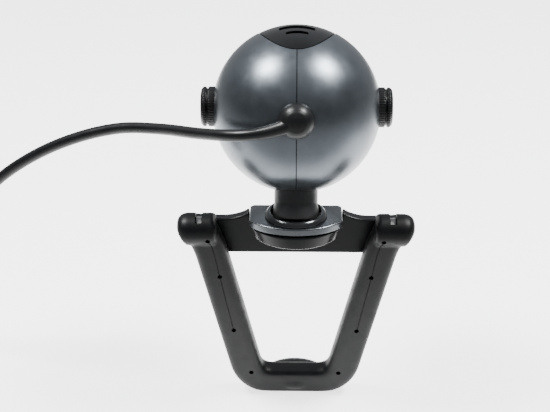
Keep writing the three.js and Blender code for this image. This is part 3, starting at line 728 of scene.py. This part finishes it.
def make_collar():
    cup = arc((0, 0), 8.25, -40, -6, 12)
    profile = [(1.8, -6), (6.3, -6), *cup, (8.6, 0), (9, 0.5), (9.6, 0.5), (10.2, -0.05), (10.65, -0.8),
               (10.7, -1.2), (9.6, -1.2), (9.6, -5.4), (8, -7.2), (1.8, -7.2)]
    collar = lathe("collar_fine", profile, BASE, M_COLLAR, "Z", 192, 0.3, angle=60)
    stands_for(collar, "swivel", "collar_black", "collar")


# ---------------------------------------------------------------- plate, pod and bar
BAR_BACK = 5.0
BAR_FRONT = 9.2
BAR_TOP = -4.9
BAR_BOTTOM = -18.5
BAR_HALF = 36.2
BAR_DEEP_HALF = 25.3     # half of its deep middle
LIP_HALF = 22.4          # half of its flat back face, between the loop's arms
SCREW_X = 11.6
SCREW_Y = 2.6


def d_outline(half, front, side_end, back, corner):
    """Straight sides and front, and a round back; side_end is where the sides meet the round."""
    drop = side_end - back
    r = (half * half + drop * drop) / (2 * drop)
    spread_angle = degrees(asin(min(1, half / r)))
    points = [(half, side_end), (half, front - corner), (half - corner, front), (-half + corner, front),
              (-half, front - corner)]
    return points + arc((0, back + r), r, 270 - spread_angle, 270 + spread_angle, 48)[:-1]


def screw_holes(r, low, high):
    places = [BASE @ Matrix.Translation((side * SCREW_X, SCREW_Y, 0)) for side in (-1, 1)]
    return [rod("cut", r, low, high, place, M_PLATE) for place in places]


def make_plate():
    plate = prism("plate_fine", d_outline(16, 8.8, -3.9, -11.2, 1.2), -4.2, -1.5, BASE, M_PLATE)
    bevelled(plate, 0.5, 4, 60)
    carved(plate, rod("cut", 9.9, -10, 5, BASE, M_PLATE, "Z", 96), *screw_holes(1.3, -10, -2.4))
    stands_for(flattened(plate), "stand", "plate_paint", "top_plate")


def make_pod():
    """A block under the plate whose curved wall closes in towards a polished lower rim."""
    front = BAR_BACK - GAP
    outline = d_outline(15.4, front, -3.2, -12.2, 0.5)
    pod = prism("pod_fine", outline, -9, -4.5, BASE, M_POD, low_scale=(0.9, 0.95), about=(0, front))
    bevelled(pod, 0.45, 3, 60)
    carved(pod, rod("cut", 9.9, -7.6, 5, BASE, M_POD, "Z", 96), rod("cut", 1.9, -12, 0, BASE, M_POD),
           rod("cut", 3.4, -12, -8.15, BASE, M_POD), *screw_holes(1.3, -12, 0), *screw_holes(1.8, -12, -7.6))
    stands_for(flattened(pod), "stand", "gloss_black", "pod")


def make_bar():
    """A deep plate with a bead along its top that sinks between the plate and each knuckle."""
    right = [(0, BAR_BOTTOM), (BAR_DEEP_HALF, BAR_BOTTOM), (BAR_DEEP_HALF + 0.5, -13), (BAR_HALF, -12),
             (BAR_HALF, BAR_TOP + 0.1)]
    for k in range(15):
        x = BAR_HALF - (BAR_HALF - 17) * (k + 1) / 16
        right.append((x, BAR_TOP - 0.5 * sin(pi * (k + 1) / 16) + 1.6 * max(0, (25 - x) / 8) ** 2))
    right += [(16.3, -2.7), (16.15, -4.5), (0, -4.5)]
    left = [(-x, z) for x, z in reversed(right[1:-1])]
    bar = prism("bar_fine", right[:-1] + left, BAR_BACK, BAR_FRONT, BASE, M_BAR, "Y")
    bevelled(bar, 1.1, 5, 25)
    carved(bar, rod("cut", 9.9, -7.6, 5, BASE, M_BAR, "Z", 96))
    start = BAR_BACK - 1
    for side in (-1, 1):
        # the tab's pocket, and the relief where the loop's arm passes behind the lip
        low, high = outward(side, TAB_X - TAB_ROOM, TAB_X + TAB_ROOM)
        carved(bar, cuboid("cut", (low, start, -10.8), (high, BAR_BACK + 2.5, -6.5), BASE, M_BAR))
        low, high = outward(side, LIP_HALF, 40)
        carved(bar, cuboid("cut", (low, start, -20), (high, BAR_BACK + 0.6, -12.9), BASE, M_BAR))
    stands_for(flattened(bar), "stand", "gloss_black", "cross_bar")


# ---------------------------------------------------------------- loop
ARM_TOP_X = 31.5
ARM_SLOPE = 0.222
FLARE_DROP = 10.0
FLARE = 0.014
LOOP_DROP = 68.4
CORNER_R = 9.0
SLEEVE_W = 11.3
SLEEVE_D = 8.0
KNUCKLE_R = 5.7
HOLES = ((1.4, 2, -4), (18, 1, -2.2), (42.4, 0, -2.2), (62.6, 1.6, -2.2))   # drop, inset and floor of each


def arm_x(drop):
    return ARM_TOP_X - ARM_SLOPE * drop + FLARE * max(0, FLARE_DROP - drop) ** 2


def arm_path(start, end, count):
    drops = [start + (end - start) * k / count for k in range(count + 1)]
    return [Vector((-arm_x(drop), 0, -drop)) for drop in drops]


def loop_path(start):
    """The loop's middle line in its own plane, from the left knuckle round the foot to the right one."""
    slope = Vector((ARM_SLOPE, 0, -1)).normalized()
    corner = Vector((ARM_SLOPE * LOOP_DROP - ARM_TOP_X, 0, -LOOP_DROP))
    bend = corner - slope * CORNER_R
    foot = corner + Vector((CORNER_R, 0, 0))
    half = arm_path(start, -bend.z, 48)[:-1]
    for k in range(17):
        t = k / 16
        half.append(bend * (1 - t) ** 2 + corner * 2 * t * (1 - t) + foot * t ** 2)
    half += [Vector((foot.x * (1 - k / 5), 0, foot.z)) for k in range(1, 5)]
    return half + [Vector((0, 0, -LOOP_DROP))] + [Vector((-p.x, p.y, p.z)) for p in reversed(half)]


def rounded_section(width, depth, radius):
    w, d = width / 2, depth / 2
    return soften([(-w, -d), (w, -d), (w, d), (-w, d)], radius, steps=6)


def make_knuckle(side):
    """The arm's thick round end about the hinge axis."""
    path = [Vector((-side * p.x, p.y, p.z)) for p in arm_path(-8, 7, 20)]
    knuckle = sweep("knuckle", rounded_section(SLEEVE_W + 1.3, 14, 1), path, LOOP, M_RUBBER)
    profile = [(0, 27.5), (4.9, 27.5), (5.5, 27.9), (KNUCKLE_R, 28.6), (KNUCKLE_R, 37.6), (5.3, 39.2),
               (4.3, 40.4), (2.8, 41), (0, 41)]
    turned = lathe("round", [(r, side * x) for r, x in profile], LOOP, M_RUBBER, "X", 64)
    return boolean(knuckle, turned, "INTERSECT")


def hinge_cuts(side):
    """The pin's bore, and the slot that the hinge tab turns in."""
    low, high = outward(side, TAB_X - TAB_ROOM, TAB_X + TAB_ROOM)
    return [
        rod("cut", 1.9, *outward(side, 28.4, 38.4), LOOP, M_RUBBER, "X", 32),
        rod("cut", 4.5, low, high, LOOP, M_RUBBER, "X", 48),
        cuboid("cut", (low, 0, -7.2), (high, 9, 9), LOOP, M_RUBBER),
        cuboid("cut", (low, -3.2, 0), (high, 9, 9), LOOP, M_RUBBER),
    ]


def hole_cuts(side):
    """The small holes down the back of an arm, and the fine slits that join the first three."""
    cuts = []
    for drop, inset, floor in HOLES:
        place = LOOP @ Matrix.Translation((side * (arm_x(drop) - inset), 0, -drop))
        cuts.append(rod("cut", 0.85, -10, floor, place, M_RUBBER, "Y", 24))
    slit = [(-0.17, -5.4), (0.17, -5.4), (0.17, 5.4), (-0.17, 5.4)]
    for above, below in zip(HOLES[:2], HOLES[1:3]):
        path = []
        for k in range(13):
            drop = above[0] + (below[0] - above[0]) * k / 12
            inset = above[1] + (below[1] - above[1]) * k / 12
            path.append((side * (arm_x(drop) - inset), -9, -drop))
        cuts.append(sweep("cut", slit, path, LOOP, M_RUBBER))
    return cuts


def make_loop():
    loop = sweep("loop_fine", rounded_section(SLEEVE_W, SLEEVE_D, 3.3), loop_path(-1), LOOP, M_RUBBER)
    for side in (-1, 1):
        boolean(loop, make_knuckle(side), "UNION")
    swell_place = LOOP @ Matrix.Translation((0, 2.6, -LOOP_DROP - 0.4)) @ Matrix.Diagonal((12, 7.2, 4.6, 1))
    boolean(loop, ball("swell", 1, swell_place, M_RUBBER, 48), "UNION")
    pad = soften([(-11, -3.8), (11, -3.8), (11, 5), (7, 9.5), (-7, 9.5), (-11, 5)], 3, steps=5)
    boolean(loop, prism("pad", pad, -LOOP_DROP - 9, -LOOP_DROP + 0.5, LOOP, M_RUBBER), "UNION")
    boolean(loop, cuboid("cut", (-60, -60, -60), (60, 60, 0.05), WORLD, M_RUBBER))
    blended(loop, 0.4, 11)
    for side in (-1, 1):
        carved(loop, *hinge_cuts(side), *hole_cuts(side))
    loop.data.shade_smooth()
    loop.data.set_sharp_from_angle(angle=radians(60))
    stands_for(loop, "loop", "loop_rubber", "loop_sleeve")


# ---------------------------------------------------------------- CAD pieces that keep their shape
KEPT = {
    M_INNER: ("lens_tube", "lens_carriage"),
    M_STEEL: ("focus_shaft", "hinge_pin_left", "hinge_pin_right", "plate_screw_left", "plate_screw_right",
              "swivel_screw", "wire_core", "microphone"),
    M_TAB: ("hinge_tab_left", "hinge_tab_right"),
    M_ACETAL: ("focus_pinion", "friction_liner", "board_connector"),
    M_BOARD: ("sensor_board", "main_board"),
    M_SENSOR: ("image_sensor",),
}


def dress_kept_nodes():
    for material, names in KEPT.items():
        for name in names:
            for slot in frame["nodes"][name].material_slots:
                slot.material = material


# ---------------------------------------------------------------- studio
def painted_light_table_material(name):
    """A table with painted light on it: it glows white beyond the object, and is a painted shaded grey on
    the near side and all round.
    """
    material, tree, shader = new_material(name)
    place = tree.nodes.new("ShaderNodeTexCoord")
    split = tree.nodes.new("ShaderNodeSeparateXYZ")
    tree.links.new(place.outputs["Object"], split.inputs["Vector"])
    aside = tree.nodes.new("ShaderNodeMath")
    aside.operation = "ABSOLUTE"
    tree.links.new(split.outputs["X"], aside.inputs[0])
    lit = spread(tree, split.outputs["Y"], 0, 1, -0.1, -0.026)
    far = spread(tree, split.outputs["Y"], 1, 0, 0.48, 0.7)
    wide = spread(tree, aside.outputs[0], 1, 0, 0.2, 0.32)
    for limit in (far, wide):
        product = tree.nodes.new("ShaderNodeMath")
        product.operation = "MULTIPLY"
        tree.links.new(lit, product.inputs[0])
        tree.links.new(limit, product.inputs[1])
        lit = product.outputs[0]
    # painted light: the colour goes from a painted shaded grey to white, and the painted glow rises with it
    tree.links.new(mix_colours(tree, lit, grey(0.3), grey(0.9)), shader.inputs["Base Color"])
    tree.links.new(spread(tree, lit, 0.25, 2.4, 0, 1), shader.inputs["Emission Strength"])
    shader.inputs["Roughness"].default_value = 0.7
    shader.inputs["Emission Color"].default_value = (1, 1, 1, 1)
    return material


def area_light(name, direction, distance, size, power, target):
    data = bpy.data.lights.new(name, "AREA")
    data.shape = "DISK"
    data.size = size
    data.energy = power
    light = bpy.data.objects.new(name, data)
    way = Vector(direction).normalized()
    light.location = target + way * distance
    light.rotation_euler = way.to_track_quat("Z", "Y").to_euler()
    bpy.context.scene.collection.objects.link(light)


def sky_level(tree, axis, low, high, start, end):
    """A level that depends on one part of the direction that the sky is seen in."""
    place = tree.nodes.new("ShaderNodeTexCoord")
    split = tree.nodes.new("ShaderNodeSeparateXYZ")
    level = tree.nodes.new("ShaderNodeMapRange")
    level.interpolation_type = "SMOOTHSTEP"
    level.inputs["From Min"].default_value = start
    level.inputs["From Max"].default_value = end
    level.inputs["To Min"].default_value = low
    level.inputs["To Max"].default_value = high
    tree.links.new(place.outputs["Generated"], split.inputs["Vector"])
    tree.links.new(split.outputs[axis], level.inputs["Value"])
    return level.outputs["Result"]


def make_studio():
    corners = [(-4, -4, -0.0003), (4, -4, -0.0003), (4, 4, -0.0003), (-4, 4, -0.0003)]
    floor_mesh = bpy.data.meshes.new("floor")
    floor_mesh.from_pydata(corners, [], [(0, 1, 2, 3)])
    floor = bpy.data.objects.new("floor", floor_mesh)
    bpy.context.scene.collection.objects.link(floor)
    # the floor carries a painted glow beyond the object and painted shade round it
    floor_mesh.materials.append(painted_light_table_material("floor_painted_glow_and_shade"))

    # a dark room behind the camera, a lighter one beyond the object and a softly lit ceiling
    world = bpy.data.worlds.new("studio")
    world.use_nodes = True
    bpy.context.scene.world = world
    tree = world.node_tree
    total = tree.nodes.new("ShaderNodeMath")
    total.operation = "ADD"
    tree.links.new(sky_level(tree, "Y", 0.1, 0.5, -0.2, 0.8), total.inputs[0])
    tree.links.new(sky_level(tree, "Z", 0.0, 0.3, 0.25, 0.9), total.inputs[1])
    tree.links.new(total.outputs[0], tree.nodes["Background"].inputs["Strength"])
    tree.nodes["Background"].inputs["Color"].default_value = (0.93, 0.96, 1, 1)

    middle = HEAD @ Vector((0, 0, 0)) * MM
    for word, x in (("left", -0.54), ("right", 0.54)):
        area_light(f"softbox_{word}", (x, -0.03, 0.84), 0.7, 0.22, 10, middle)


make_shells()
make_band()
make_fascia()
make_lens()
make_knobs()
make_boss()
make_neck()
make_collar()
make_plate()
make_pod()
make_bar()
make_loop()
dress_kept_nodes()
make_studio()
